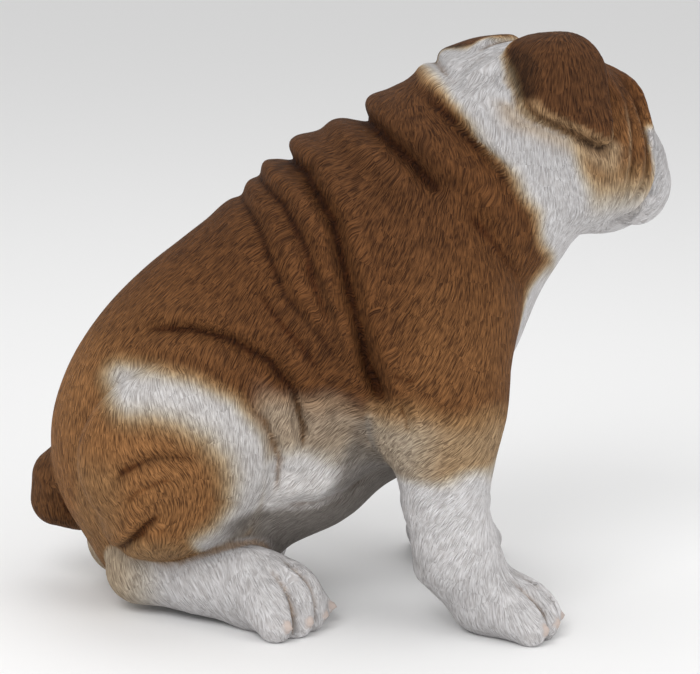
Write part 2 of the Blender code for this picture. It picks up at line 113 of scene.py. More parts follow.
bodyFolds = [
    # the long crease behind the shoulder, from the back to the elbow, and the rolls behind it
    Fold([(-13, 77.6), (-8.7, 75.4), (-4.7, 69.2), (-1.3, 56.8), (1.8, 45.8), (5.5, 38)],
         1.4, 2.2, (0.7, 1.3), (0.0, 0.12), (0, 40)),
    Fold([(-17, 74.5), (-12.4, 70.8), (-9.2, 65.5), (-5, 56), (-1.2, 44.5)],
         1.5, 1.1, (0.5, 0.5), (0.0, 0.3), (0, 40)),
    Fold([(-20, 71.5), (-16.4, 67.2), (-12.2, 57), (-6.3, 50.5), (-0.8, 42.5)],
         1.5, 0.9, (0.4, 0.4), (0.0, 0.25), (0, 40)),
    # the rolls of the neck
    Fold([(-4, 87.6), (0.3, 84.4), (4.2, 81.9), (8, 78.9), (11.2, 75.6), (14.4, 72.8)],
         1.4, 2.0, (0.9, 1.1), (0.0, 0.25), (0, 40)),
    Fold([(5, 91.5), (10.9, 88.4), (15.2, 84.9), (22, 78.3), (27.2, 71.5), (28.3, 65)],
         1.5, 1.3, (1.2, 0.3), (0.35, 0.5), (0, 40)),
    # around the thigh
    Fold([(-38.5, 47.6), (-33.3, 49.8), (-27.1, 50.5), (-20.9, 49.4), (-14.5, 46.2), (-10.3, 41),
          (-8.6, 35), (-8.5, 29)], 1.1, 1.2, (0.5, 0.5), (0.25, 0.15), (9, 40)),
]
thighFolds = [
    Fold([(-41.3, 24.8), (-37.6, 28.7), (-33.6, 30.9), (-29.4, 31.3), (-23.9, 30.2)],
         1.2, 0.9, (0.3, 0.3), (0.3, 0.3), (15, 40)),
    Fold([(-39.2, 12.3), (-36.7, 15.5), (-34.1, 19.3), (-30.7, 22.1)],
         0.9, 1.2, (0.2, 0.4), (0.2, 0.3), (8, 40)),
]
# The same for the head seen from its own side, and for the face seen from the front, as (left, up).
headFolds = [
    Fold([(11, 11), (13, 5), (14, -3), (13, -10), (10.5, -17)], 1.2, 1.2, (0.5, 0.5), (0.2, 0.2), (10, 30)),
    Fold([(6.5, 10), (8.5, 4), (9.5, -3), (9, -10), (6, -15)], 1.2, 0.8, (0.4, 0.4), (0.2, 0.2), (10, 30)),
]
faceFolds = [
    Fold([(0, 3.4), (3.4, 2.4), (5.4, -1.6), (8.4, -5.5), (10, -11)],
         1.0, 1.0, (0.4, 0.4), (0, 0.3), (8, 60)),
    Fold([(0, 15), (0, 6)], 1.2, 1.1, (0.3, 0.3), (0.4, 0.3), (4, 60)),
    Fold([(1.5, 7.4), (5, 8.4), (9.5, 6.8)], 1.1, 0.8, (0.4, 0.4), (0.3, 0.3), (4, 60)),
    Fold([(0, -4.5), (0, -11)], 0.9, 1.3, (0.2, 0.2), (0.1, 0.1), (10, 60)),
    Fold([(0, -11), (3, -12.4), (6.2, -15.8)], 0.9, 1.4, (0.2, 0.2), (0, 0.2), (10, 60)),
]


def turnMatrix(turn):
    # Rotation about X, then Y, then Z, as a 3 by 3 array.
    x, y, z = (math.radians(t) for t in turn)
    return np.array(Matrix.Rotation(z, 3, "Z") @ Matrix.Rotation(y, 3, "Y") @ Matrix.Rotation(x, 3, "X"))


def massDistance(points, mass):
    # About how far each point is outside an ellipsoid: k (k - 1) / slope, where k is how many half-lengths
    # the point is from the middle, and the slope is how fast k * k / 2 grows.
    q = (points - mass.middle) @ turnMatrix(mass.turn)
    half = np.array(mass.half, float)
    reach = np.linalg.norm(q / half, axis=1)
    slope = np.linalg.norm(q / half ** 2, axis=1)
    return reach * (reach - 1) / np.maximum(slope, 1e-9)


def limbDistance(points, limb):
    # Distance outside a chain of tapered round rods: from the rod's middle line, less the radius there.
    found = np.full(len(points), 1e9)
    ends = [np.array(p, float) for p in limb.points]
    for a, b, ra, rb in zip(ends, ends[1:], limb.radii, limb.radii[1:]):
        along = b - a
        share = np.clip((points - a) @ along / (along @ along), 0, 1)
        away = np.linalg.norm(points - a - share[:, None] * along, axis=1)
        found = np.minimum(found, away - (ra + share * (rb - ra)))
    return found


def blended(one, other, width, side=1):
    # The smaller of two distances, or with side -1 the larger, less a fillet where they are alike:
    # (1 - gap / width)² * width / 4, with the gap between the two.
    near = np.maximum(width - np.abs(one - other), 0) / width
    return side * (np.minimum(side * one, side * other) - near * near * width / 4)


def toeLimbs(toes):
    # Four short rods fanned round the front of a paw, with the middle two reaching further.
    x, y = toes["root"]
    heading = math.radians(toes["heading"])
    for place in (-1.5, -0.5, 0.5, 1.5):
        aim = heading + math.radians(9 * place)
        across = (-math.sin(heading) * toes["spread"] * place, math.cos(heading) * toes["spread"] * place)
        reach = toes["reach"] - 1.1 * (abs(place) - 0.5) ** 1.5
        start = (x + across[0], y + across[1], toes["height"] - 0.4)
        tip = (start[0] + reach * math.cos(aim), start[1] + reach * math.sin(aim), toes["radius"] - 0.6)
        yield Limb([start, tip], [toes["radius"], toes["radius"] - 0.2], 0.9)


def outsideCorners(seen, corners):
    # How far points lie outside a convex outline: the largest distance past any of its edges.
    middle = np.mean(corners, axis=0)
    outline = np.full(len(seen), -1e9)
    for a, b in zip(corners, np.roll(corners, -1, axis=0)):
        out = np.array([b[1] - a[1], a[0] - b[0]]) / np.linalg.norm(b - a)
        out *= np.sign((a - middle) @ out)
        outline = blended(outline, (seen - a) @ out, 2, -1)
    return outline


def headFrame(points):
    # Points as the head sees them: X to the nose, Z up, and its two sides folded onto one.
    q = (points - headPlace) @ turnMatrix(headTurn)
    return np.column_stack([q[:, 0], np.sqrt(q[:, 1] ** 2 + 1e-4), q[:, 2]])


def faceDistance(q):
    # The head without its ears.
    found = massDistance(q, headMasses["skull"])
    for name in ("earRoot", "brow", "cheek", "muzzle", "chin", "flew", "noseRoll", "nose"):
        found = blended(found, massDistance(q, headMasses[name]), headMasses[name].blend)
    for fold in headFolds:
        found = found - foldHeight(q, fold)
    for fold in faceFolds:
        found = found - foldHeight(q[:, [1, 0, 2]], fold)
    eye = massDistance(q, eyeMass)
    return blended(found + 0.7 * np.exp(-((eye - 0.6) / 0.9) ** 2), eye, eyeMass.blend)


def earOutline(q):
    # How far points lie outside the ear's edge, seen from the side of the head.
    return outsideCorners(q[:, [0, 2]], np.array(earCorners, float))


def earDistance(q, face):
    # A flap laid on the head, cut to the ear's outline.
    lift = earLift + earDroop * ramp(-q[:, 2], -7, 2)
    flap = blended(earOutline(q), face - lift, 1.4, -1)
    return blended(flap, earSpan - q[:, 1], 1.5, -1)


def headDistance(points):
    # The face with a crease around each ear's flap, blended with the flap.
    q = headFrame(points)
    face = faceDistance(q)
    crease = earCrease * np.exp(-((earOutline(q) - 0.6) / 0.9) ** 2)
    crease = crease * ramp(q[:, 1], earSpan, earSpan + 3)
    return blended(face + crease, earDistance(q, face), 0.5)


def onTheRight(points, stance):
    # Left points brought to where the right limb is written; right points unchanged.
    left = points[:, 1] > 0
    turned = points * (1, -1, 1) + (stance.back, 0, 0)
    if stance.turn:
        pivot = np.array([*stance.about, 0.0])
        turned = (turned - pivot) @ turnMatrix((0, 0, stance.turn)) + pivot
    return np.where(left[:, None], turned, points)


def linePlace(points, line):
    # Signed distance from a line of (x, z) points, positive ahead of it, and the share along it.
    ends = np.array(line, float)
    lengths = np.linalg.norm(np.diff(ends, axis=0), axis=1)
    before = np.concatenate([[0], np.cumsum(lengths)])
    seen = points[:, [0, 2]]
    best, share, sign = np.full(len(seen), 1e9), np.zeros(len(seen)), np.ones(len(seen))
    for i, length in enumerate(lengths):
        along = (ends[i + 1] - ends[i]) / length
        run = np.clip((seen - ends[i]) @ along, 0, length)
        off = seen - ends[i] - run[:, None] * along
        away = np.linalg.norm(off, axis=1)
        nearer = away < best
        best = np.where(nearer, away, best)
        share = np.where(nearer, (before[i] + run) / before[-1], share)
        sign = np.where(nearer, np.sign(along[0] * off[:, 1] - along[1] * off[:, 0]), sign)
    return best * sign, share


def ramp(value, low, high):
    # 0 below low and 1 above high, with the smooth step t * t * (3 - 2 * t) between them.
    t = np.clip((value - low) / max(high - low, 1e-6), 0, 1)
    return t * t * (3 - 2 * t)


def foldHeight(points, fold):
    # How far a fold raises the skin: -depth * exp(-(away / width)²) for the groove, and a bell curve
    # 2.6 widths to each side of it for the swells, faded out towards the line's ends.
    away, share = linePlace(points, fold.line)
    groove = -fold.depth * np.exp(-(away / fold.width) ** 2)
    ahead = 0.5 + 0.5 * np.tanh(away / fold.width)
    swell = fold.swell[0] + (fold.swell[1] - fold.swell[0]) * ahead
    rise = swell * np.exp(-((np.abs(away) - 2.6 * fold.width) / (1.6 * fold.width)) ** 2)
    fade = ramp(share, -1e-6, fold.fade[0]) * ramp(1 - share, -1e-6, fold.fade[1])
    y = np.abs(points[:, 1])
    across = ramp(y, fold.span[0] - 3, fold.span[0]) * ramp(-y, -fold.span[1], -fold.span[1] + 2)
    return (groove + rise) * fade * across


def toeGrooves(seen, toes):
    # Three grooves from above, between the four toes, that deepen towards the front.
    heading = math.radians(toes["heading"])
    offset = seen[:, :2] - toes["root"]
    ahead = offset @ (math.cos(heading), math.sin(heading))
    aside = offset @ (-math.sin(heading), math.cos(heading)) / (1 + 0.03 * np.maximum(ahead, 0))
    near = np.abs(np.abs(aside) - np.where(np.abs(aside) > 0.5 * toes["spread"], toes["spread"], 0))
    return 1.1 * np.exp(-(near / 0.7) ** 2) * ramp(ahead, -1, 5) * ramp(seen[:, 2], 0, 3)


def limbGroup(points, stance, masses, rods, found=None):
    # The blend of some rods and masses, on both sides of the dog, onto what is found already.
    seen = onTheRight(points, stance)
    for shape in (*rods, *masses.values()):
        distance = limbDistance(seen, shape) if isinstance(shape, Limb) else massDistance(seen, shape)
        found = distance if found is None else blended(found, distance, shape.blend)
    return found


def statueDistance(points):
    # The whole sculpture as one distance, in units: below zero inside, above zero outside.
    rump, *otherMasses = trunkMasses.values()
    found = massDistance(points, rump)
    for mass in otherMasses:
        found = blended(found, massDistance(points, mass), mass.blend)
    found = blended(found, headDistance(points), 5)
    leg = limbGroup(points, leftFore, shoulderMasses, [foreLegRod])
    leg = limbGroup(points, leftPaw, pawMasses, [pasternRod, *toeLimbs(foreToes)], leg)
    leg = leg + toeGrooves(onTheRight(points, leftPaw), foreToes)
    found = blended(found, leg, 5)
    for fold in bodyFolds:
        found = found - foldHeight(points, fold)
    thigh = limbGroup(points, leftHind, thighMasses, [])
    seen = onTheRight(points, leftHind)
    for fold in thighFolds:
        thigh = thigh - foldHeight(seen, fold)
    found = blended(found, thigh, 2)
    foot = limbGroup(points, leftFoot, footMasses, [heelRod, *toeLimbs(hindToes)])
    foot = foot + toeGrooves(onTheRight(points, leftFoot), hindToes)
    found = blended(found, foot, 1.2)
    return blended(found, limbDistance(points, tailRod), tailRod.blend)


# Finer carving, which only the looks have. The deep folds above also get a painted shade line.
deepBodyFolds = list(bodyFolds)
deepThighFolds = list(thighFolds)
bodyFolds += [
    Fold([(10.5, 96), (13.5, 93), (16.5, 90)], 0.9, 0.7, (0.4, 0.3), (0, 0.5), (0, 14)),
    Fold([(15.1, 73.2), (21.2, 66.5), (25.7, 60.6), (28.1, 55)],
         1.4, 0.5, (0.3, 0.3), (0.3, 0.3), (10, 40)),
    Fold([(-9.6, 64.2), (-8.2, 60), (-6, 55), (-4.6, 50.4)], 0.8, 0.5, (0.2, 0.2), (0.3, 0.3), (8, 40)),
    Fold([(-19, 61), (-14, 54), (-8.5, 48), (-4.5, 42)], 0.9, 0.5, (0.2, 0.3), (0.3, 0.3), (8, 40)),
    # beside the elbow
    Fold([(4.6, 45.4), (7.2, 44.4), (10.2, 44.2)], 0.8, 0.5, (0.2, 0.3), (0.3, 0.4), (12, 40)),
    Fold([(6.4, 41), (7.8, 38), (8.6, 34.5)], 0.8, 0.5, (0.2, 0.4), (0.3, 0.3), (12, 40)),
    # along the outer edge of the thigh, and the hem of the flank below it
    Fold([(-41.5, 42.2), (-34, 44.8), (-27.5, 43.9), (-20.5, 40.9), (-15.2, 35.8), (-12.6, 29.5),
          (-12.8, 23.5), (-15.4, 18.6)], 1.0, 0.9, (0.5, 0.5), (0.4, 0.3), (9, 40)),
    Fold([(6, 26.5), (-1, 22), (-6.2, 20.6), (-10.3, 20.8), (-15, 20.8)],
         1.1, 0.6, (0.7, 0.0), (0.3, 0.3), (9, 40)),
]
thighFolds += [
    Fold([(-38.6, 21.8), (-35.6, 25.4), (-31.8, 27.4), (-27.6, 27.4)],
         0.8, 0.4, (0.2, 0.2), (0.3, 0.3), (15, 40)),
    Fold([(-36.8, 15.5), (-33.6, 18), (-29.5, 18.6)], 0.8, 0.5, (0.2, 0.2), (0.3, 0.3), (8, 40)),
]
headFolds += [
    Fold([(4.4, 10), (5.8, 4), (5.4, -3), (4.4, -9), (4.6, -14.4)],
         0.7, 0.35, (0.4, 0.4), (0.35, 0.3), (9, 30)),
    Fold([(12.4, -6), (12.2, -11), (10, -16.5)], 0.7, 0.7, (0.3, 0.3), (0.3, 0.2), (9, 30)),
]
cheekFolds = headFolds[1:3]
faceFolds += [
    Fold([(0.8, 4.8), (3.6, 4.6), (7.2, 5.2)], 0.6, 0.45, (0.2, 0.2), (0.3, 0.3), (8, 60)),
    Fold([(2.4, 9.6), (2.2, 12.6), (3, 15)], 0.8, 0.5, (0.2, 0.2), (0.3, 0.3), (4, 60)),
    Fold([(4.4, -0.6), (7.4, -3), (9.8, -7.2)], 0.6, 0.5, (0.2, 0.2), (0.3, 0.3), (8, 60)),
]

claws = {
    "half": (1.3, 0.75, 0.85),
    "rise": 0.6,            # above the tip of the toe's rod
    "sunk": 0.2,            # how far the middle lies inside the toe's round end
    "dip": 14,              # degrees
    "blend": 0.3,
}
nostrils = {
    "half": (1.5, 0.75, 0.6),
    "place": (23.6, 2.0, -2.0),     # in the head's frame
    "turn": (0, 0, 30),
    "blend": 0.4,
}


def clawShapes(toes):
    # A small pointed mass at the tip of each toe's rod, turned the way the toe points.
    for toe in toeLimbs(toes):
        start, tip = np.array(toe.points[0]), np.array(toe.points[1])
        way = (tip - start) * (1, 1, 0)
        way /= np.linalg.norm(way)
        middle = tip + way * (toe.radii[1] - claws["sunk"]) + (0, 0, claws["rise"])
        heading = math.degrees(math.atan2(way[1], way[0]))
        yield Mass(tuple(middle), claws["half"], (0, claws["dip"], heading), claws["blend"])


def clawDistance(points):
    # Distance outside the nearest claw.
    found = np.full(len(points), 1e9)
    for toes, stance in ((foreToes, leftPaw), (hindToes, leftFoot)):
        seen = onTheRight(points, stance)
        for claw in clawShapes(toes):
            found = np.minimum(found, massDistance(seen, claw))
    return found


def nostrilDistance(points):
    # Distance outside the nostrils, which the head's folded frame makes a pair.
    nostril = Mass(nostrils["place"], nostrils["half"], nostrils["turn"], nostrils["blend"])
    return massDistance(headFrame(points), nostril)


def fineDistance(points):
    # The statue's distance with the claws blended on and the nostrils cut out.
    found = blended(statueDistance(points), clawDistance(points), claws["blend"])
    return blended(found, -nostrilDistance(points), nostrils["blend"], -1)


fineSkin = {
    "spacing": 0.00245,     # between the points of the even skin, in metres
    "feeler": 1.2,          # how far each side of a point its way out is felt for
    "rounds": 3,            # times that the skin is settled, evened out in between
    "steps": 5,             # steps in or out in each round
    "stepShare": 0.9,       # of the distance that is left
    "longestStep": 1.2,
    "evening": 0.5,         # how far a point moves towards the mean of its neighbours
}


def settled(points):
    # Each point steps along the slope of the fine distance until that distance is nothing.
    reach = fineSkin["feeler"]
    way = np.column_stack([
        fineDistance(points + reach * axis) - fineDistance(points - reach * axis) for axis in np.eye(3)])
    way /= np.linalg.norm(way, axis=1)[:, None] + 1e-9
    longest = fineSkin["longestStep"]
    for _ in range(fineSkin["steps"]):
        step = np.clip(fineSkin["stepShare"] * fineDistance(points), -longest, longest)
        points = points - step[:, None] * way
    return points


def neighbourMean(values, edges):
    # The mean of each point's neighbours along the mesh's edges: their sum over their number.
    total = np.zeros_like(values)
    count = np.bincount(edges.ravel(), minlength=len(values))
    for here, there in (edges.T, edges.T[::-1]):
        for k in range(values.shape[1]):
            total[:, k] += np.bincount(here, weights=values[there, k], minlength=len(values))
    return total / np.maximum(count, 1)[:, None]


def placePoints(skin, points):
    # Points below the ground are raised to it, and then all go from the sculpture's units to metres.
    points[:, 2] = np.maximum(points[:, 2], 0)
    skin.vertices.foreach_set("co", ((points + (*originShift, 0)) * unit).ravel())
    skin.update()


def fineStatueSkin(cadNode):
    # A copy of the solid, merged and made an even skin, whose points then settle on the fine sculpture.
    rough = bpy.data.objects.new("rough", cadNode.data.copy())
    bpy.context.collection.objects.link(rough)
    weld = rough.modifiers.new("weld", "WELD")
    weld.merge_threshold = 1e-6
    remesh = rough.modifiers.new("even skin", "REMESH")
    remesh.mode = "VOXEL"
    remesh.voxel_size = fineSkin["spacing"]
    evaluated = rough.evaluated_get(bpy.context.evaluated_depsgraph_get())
    skin = bpy.data.meshes.new_from_object(evaluated)
    bpy.data.objects.remove(rough)
    points = np.empty(len(skin.vertices) * 3)
    skin.vertices.foreach_get("co", points)
    edges = np.empty(len(skin.edges) * 2, int)
    skin.edges.foreach_get("vertices", edges)
    edges = edges.reshape(-1, 2)
    print("even skin of", len(skin.vertices), "points")

    points = settled(points.reshape(-1, 3) / unit - (*originShift, 0))
    evening = fineSkin["evening"]
    for _ in range(fineSkin["rounds"] - 1):
        points = settled((1 - evening) * points + evening * neighbourMean(points, edges))
    placePoints(skin, points)
    skin.materials.clear()
    print("fine skin settled")
    return skin, points, edges


# Which way the fur runs, seen from the right side: place x, z and the angle above level, in degrees.
furGuides = [
    (17, 93, 70), (20, 83, 90), (27, 71, 85), (34, 74, 110), (43, 86, 100), (33, 61, 60), (8, 84, 105),
    (-2, 79, 30), (13, 68, 80), (22, 61, 90), (8, 57, 60), (18, 45, 65), (12, 33, 35), (17, 24, 50),
    (15, 15, 65), (22, 6, 100), (31, 2, 120), (-16, 69, 40), (-6, 60, 70), (-26, 60, 45), (-11, 48, 55),
    (-38, 52, 50), (-22, 50, 70), (-30, 40, 105), (-44, 35, 95), (-32, 31, 125), (-18, 28, 95),
    (-38, 20, 120), (-28, 18, 80), (-2, 38, 35), (-10, 20, 30), (-25, 7, 130), (-13, 6, 120),
    (-49, 22, 85),
]
muzzleMiddle = (21, 0, -1)      # in the head's frame; the fur of the face runs away from it

locks = {
    # low ridges in the fine skin that the carved hairs run along
    "patch": 4.5,           # size of the jittered grid that the ridges start from
    "fall": 2.5,            # how quickly one patch gives way to the next
    "spacing": 1.75,        # from ridge to ridge
    "height": 0.045,
}


def mixed(one, other, share):
    # one + (other - one) * share, point by point.
    return one + (np.asarray(other) - one) * share[:, None]


def furWay(points):
    # The run of the fur: the mean of the guides' directions, each weighted by 1 / (distance² + 6)^1.5,
    # and on the face a run straight away from the middle of the muzzle.
    x, _, z = points.T
    way = np.zeros((len(points), 3))
    total = np.zeros(len(points))
    for guideX, guideZ, angle in furGuides:
        weight = 1 / ((x - guideX) ** 2 + (z - guideZ) ** 2 + 6) ** 1.5
        way += weight[:, None] * (math.cos(math.radians(angle)), 0, math.sin(math.radians(angle)))
        total += weight
    way /= total[:, None]
    q = headFrame(points)
    headAxes = turnMatrix(headTurn)
    outward = q - muzzleMiddle
    outward[:, 1] *= np.sign(((points - headPlace) @ headAxes)[:, 1])
    outward = outward @ headAxes.T
    onFace = ramp(q[:, 0], 9, 13) * ramp(4 - faceDistance(q), 0, 2)
    return mixed(way, outward / (np.linalg.norm(outward, axis=1)[:, None] + 1e-6), onFace)


def scattered(corner):
    # Four steady numbers from 0 to 1 for each corner of a grid, from the far decimals of a sine.
    return [np.mod(43758.5 * np.sin(corner @ (12.99, 78.23, 37.72) + k), 1) for k in range(4)]


def lockRelief(points, across):
    # A sine wave across the fur round each scattered middle; a point takes the mean of the waves near it,
    # weighted by exp(-fall * distance² / patch²).
    patch = locks["patch"]
    total, weights = np.zeros(len(points)), np.zeros(len(points))
    for step in itertools.product((-1, 0, 1), repeat=3):
        corner = np.floor(points / patch) + step
        chance = scattered(corner)
        offset = points - (corner + np.column_stack(chance[:3])) * patch
        weight = np.exp(-locks["fall"] * (offset ** 2).sum(axis=1) / patch ** 2)
        turns = (offset * across).sum(axis=1) / locks["spacing"] + chance[3]
        total += weight * np.sin(2 * math.pi * turns)
        weights += weight
    return locks["height"] * total / weights


coat = {
    # paint, as linear red, green, blue
    "brown": (0.092, 0.037, 0.0125),
    "darkBrown": (0.070, 0.029, 0.011),
    "reddish": (0.205, 0.096, 0.036),
    "tan": (0.225, 0.128, 0.058),
    "sand": (0.345, 0.255, 0.160),
    "cream": (0.45, 0.405, 0.345),
    "white": (0.56, 0.55, 0.555),
    "greyFur": (0.275, 0.240, 0.205),
    "shadeGrey": (0.155, 0.138, 0.122),
    "clawPink": (0.50, 0.42, 0.38),
    "noseBlack": (0.018, 0.016, 0.016),
    "eyeBlack": (0.012, 0.009, 0.008),
    "earRim": (0.30, 0.19, 0.10),
    # from brown to white: each paint takes over between two whitenesses
    "paling": [("tan", 0.04, 0.30), ("sand", 0.25, 0.55), ("cream", 0.48, 0.78), ("white", 0.70, 1.0)],
    "hollowShade": (0.50, 0.38, 0.28),    # painted shade: what the deepest hollow multiplies the paint by
    "ridgeGain": 0.25,              # painted highlight: how much paler the highest ridge is
    "creaseLine": 0.42,             # how much darker the painted shade line along a deep fold is
    "hollowRounds": 12,             # evenings that the wide hollows are measured against
}

markings = {
    # lines between the patches, seen from the right side as (x, z)
    "collar": [(4, 94), (9.4, 91.0), (13.2, 87.0), (18.9, 81.5), (23.6, 75.6), (27.2, 70.0),
               (28.8, 64.3), (30.5, 60), (34, 52)],
    "thighBand": [(-44.5, 39.0), (-38.5, 41.6), (-33, 41.8), (-27.5, 40.8), (-21.5, 38.0),
                  (-17.0, 33.0), (-15.4, 27.5), (-16.6, 21.5), (-20.5, 16.0), (-26, 12.5)],
    "hem": [(-22, 19.5), (-14.7, 20.8), (-10.3, 20.8), (-6.2, 20.6), (-1, 22), (6, 26.5)],
    # the mouth, seen from the front of the face as (left, up)
    "mouth": [(0, -4.5), (0, -11), (3, -12.4), (6.2, -15.8)],
    # heights where the patches begin, going down
    "chestTop": 62,
    "flankTop": 43,
    "bellyTop": 34,
    "armTop": 43.5,
    "sockTop": 32.5,
    "footTop": 19,
}


def placesOn(points):
    # What the paint is placed by: where each point is on the dog and on the head, and how far it is
    # from the limbs and ears. The drift is a sum of two slow sines, so that no patch has a straight edge.
    x, y, z = points.T
    q = headFrame(points)
    face = faceDistance(q)
    ear = earDistance(q, face)
    drift = 0.9 * np.sin(0.55 * x + 0.4 * z + 1.3 * np.sin(0.31 * y))
    drift += 0.7 * np.sin(0.23 * x - 0.61 * z + 0.2 * y)
    foreLegs = limbGroup(points, leftFore, shoulderMasses, [foreLegRod])
    forePaws = limbGroup(points, leftPaw, pawMasses, [pasternRod, *toeLimbs(foreToes)])
    return SimpleNamespace(
        points=points, x=x, z=z, side=np.abs(y), drift=drift,
        inHeadFrame=q, forward=q[:, 0], aside=q[:, 1], up=q[:, 2],
        inHead=ramp(3.5 - np.minimum(face, ear), 0, 2.5),
        onEar=ramp(0.6 - ear, 0, 0.5) * ramp(q[:, 1], 3, 5),
        nearEar=ramp(2.5 - ear, 0, 1) * ramp(q[:, 1], 3, 5),
        earEdge=earOutline(q),
        foreSeen=onTheRight(points, leftFore),
        hindSeen=onTheRight(points, leftHind),
        foreLeg=np.minimum(foreLegs, forePaws),
        hindFoot=limbGroup(points, leftFoot, footMasses, [heelRod, *toeLimbs(hindToes)]))


def flankPaling(at):
    # Down the flank, a ramp to half white and a ramp to the belly's white, from the thigh to the foreleg.
    level = at.z + 0.15 * (at.x + 8) - 0.6 * at.drift
    flank = 0.42 * ramp(markings["flankTop"] - level, 0, 7) + 0.5 * ramp(markings["bellyTop"] - level, 0, 6.5)
    flank = flank * ramp(at.x, -19, -14) * ramp(14 - at.x, -2, 4)
    return flank * (1 - 0.4 * ramp(1.2 - at.foreLeg, 0, 1))


def thighBand(at):
    # exp(-|away|^2.6) from the line round the thigh, where away is counted in the band's half-widths.
    away, along = linePlace(at.hindSeen, markings["thighBand"])
    inner = 5.2 + 1.2 * ramp(along, 0.2, 0.5) - 1.8 * ramp(along, 0.65, 0.85)
    band = np.exp(-np.abs(away / np.where(away > 0, 3.2, inner)) ** 2.6)
    return band * ramp(at.side, 8, 12) * ramp(along, 0, 0.13) * ramp(1.02 - along, 0, 0.06)


def bodyWhite(at, flank, band):
    # The largest that any patch of the body asks for, from 0 in the brown coat to 1 in the white.
    x, z, side = at.x, at.z, at.side
    collar, _ = linePlace(at.points, markings["collar"])
    ahead = at.foreSeen[:, 0]
    arm = (0.40 + 0.18 * ramp(14 - ahead, 0, 6)) * ramp(markings["armTop"] - z + 0.5 * at.drift, 0, 9)
    sockTop = markings["sockTop"] + 0.12 * (ahead - 15) + 0.7 * at.drift
    foot = ramp(1.2 - at.hindFoot, 0, 0.8) * ramp(17 - z, -3, 2)
    return np.maximum.reduce([
        # collar and nape, then the chest, down to between the forelegs
        ramp(collar + 0.4 * at.drift, -0.6, 4.6),
        ramp(x, 17, 22) * ramp(11 - side, -2, 3) * ramp(markings["chestTop"] - z, -6, 6),
        ramp(12 - side, -2, 3) * ramp(x, -8, 2) * ramp(44 - z, -4, 4),
        # flank, paws and forelegs
        flank,
        ramp(12 - z, -3, 3) * ramp(x, -20, -12),
        np.maximum(arm, ramp(sockTop - z, -1.5, 8)) * ramp(2.5 - at.foreLeg, 0, 1.5),
        # hind foot, paler towards its toes
        ramp(2.6 - at.hindFoot, 0, 1.6) * ramp(markings["footTop"] - z, -3, 2) * ramp(x, -26, -20),
        foot * (0.58 + 0.42 * ramp(x, -40, -28)),
        # thigh, its lower edge, the part that it sits on, and the rump
        0.92 * band,
        0.30 * ramp(19.5 - z, 0, 6) * ramp(side, 9, 13) * ramp(x, -44, -36) * ramp(-12 - x, -2, 4),
        ramp(2.0 - z, -1, 2) * ramp(x, -60, -50),
        0.18 * ramp(-x, 33, 41) * ramp(x, -48, -45) * ramp(36 - z, 0, 10),
    ])


def headWhite(at):
    # Brown over the brow and ears, paling down the cheek; white on the muzzle, the blaze and the nape.
    cheek = 1 - 0.97 * ramp(-0.8 - at.up, 0, 16.5) ** 1.5
    fromNape = ramp(at.forward + 6.9 - 0.4 * np.maximum(-1.8 - at.up, 0) + 0.3 * at.drift, -2.5, 2.5)
    fromNape = np.maximum(fromNape, ramp(0.9 - at.earEdge, 0, 0.9) * at.nearEar)
    muzzle = ramp(at.forward + 0.25 * at.aside + 0.15 * (at.up + 2.5), 12.9, 14.3) * ramp(0.5 - at.up, 0, 2.5)
    brown = fromNape * cheek * (1 - muzzle) * ramp(at.aside, 2.0, 4.4)
    return 1 - np.maximum(brown, at.onEar)


def coatColours(at, white, flank, band):
    # The brown mixed with the redder and the darker brown by place, then with each paler paint by a ramp
    # of the whiteness, and dulled a little high on the neck, low on the feet and on the thigh.
    x, z, side = at.x, at.z, at.side
    red = np.maximum.reduce([
        0.42 * np.exp(-((z - 47) / 13) ** 2) * ramp(x, 2, 12),                  # shoulder
        0.35 * ramp(-x, 12, 40) * ramp(58 - z, -8, 12),                         # loin
        0.9 * ramp(-x, 16, 24) * ramp(side, 10, 14) * ramp(40 - z, 0, 5),       # thigh
        ramp(-x, 30, 42) * ramp(52 - z, -4, 12),                                # rump
        0.45 * at.inHead * ramp(6 - at.up, 0, 8),                               # cheek
    ])
    onTail = ramp(0.8 - limbDistance(at.points, tailRod), 0, 0.8)
    dark = np.maximum(0.75 * ramp(z, 56, 80) * ramp(16 - x, -6, 8), 0.8 * onTail)
    paint = np.tile(np.array(coat["brown"]), (len(x), 1))
    paint = mixed(paint, coat["reddish"], np.clip(red * (1 - at.onEar), 0, 1))
    paint = mixed(paint, coat["darkBrown"], np.maximum(dark, at.onEar))
    for name, low, high in coat["paling"]:
        paint = mixed(paint, coat[name], ramp(white, low, high))
    paint = mixed(paint, coat["greyFur"], 0.5 * np.clip(flank / 0.4, 0, 1) * ramp(0.9 - white, 0, 0.3))
    throat = ramp(at.up, -22, -10) * ramp(-6 - at.up, -2, 4)
    dulled = 0.24 * ramp(z, 64, 76) * ramp(white, 0.6, 1) * (1 - 0.5 * throat)
    dulled = dulled + 0.12 * ramp(17 - z, 0, 8) + 0.12 * band
    return paint * (1 - dulled)[:, None]


def underShade(paint, at, normals, white):
    # Grey paint below the flank's hem, where the skin faces down, and in the armpit behind the foreleg.
    x, z = at.x, at.z
    hem, _ = linePlace(at.points, markings["hem"])
    under = ramp(-hem, -0.6, 1.6) * ramp(-normals[:, 2], -0.5, 0.4) * ramp(x, -24, -18) * ramp(12 - x, -2, 2)
    under = under * ramp(np.minimum(at.hindFoot, at.foreLeg), 0.3, 2.0)
    armpit = ramp(x + 0.27 * (38.2 - z), -0.6, 2.2) * ramp(40 - z, 0, 4) * ramp(z, 19, 24)
    armpit = armpit * ramp(14 - x, 0, 4) * ramp(at.foreLeg, 0.1, 1.2)
    share = np.clip(0.92 * under + 0.85 * armpit, 0, 0.95) * ramp(white, 0.2, 0.6)
    return mixed(paint, coat["shadeGrey"], share)


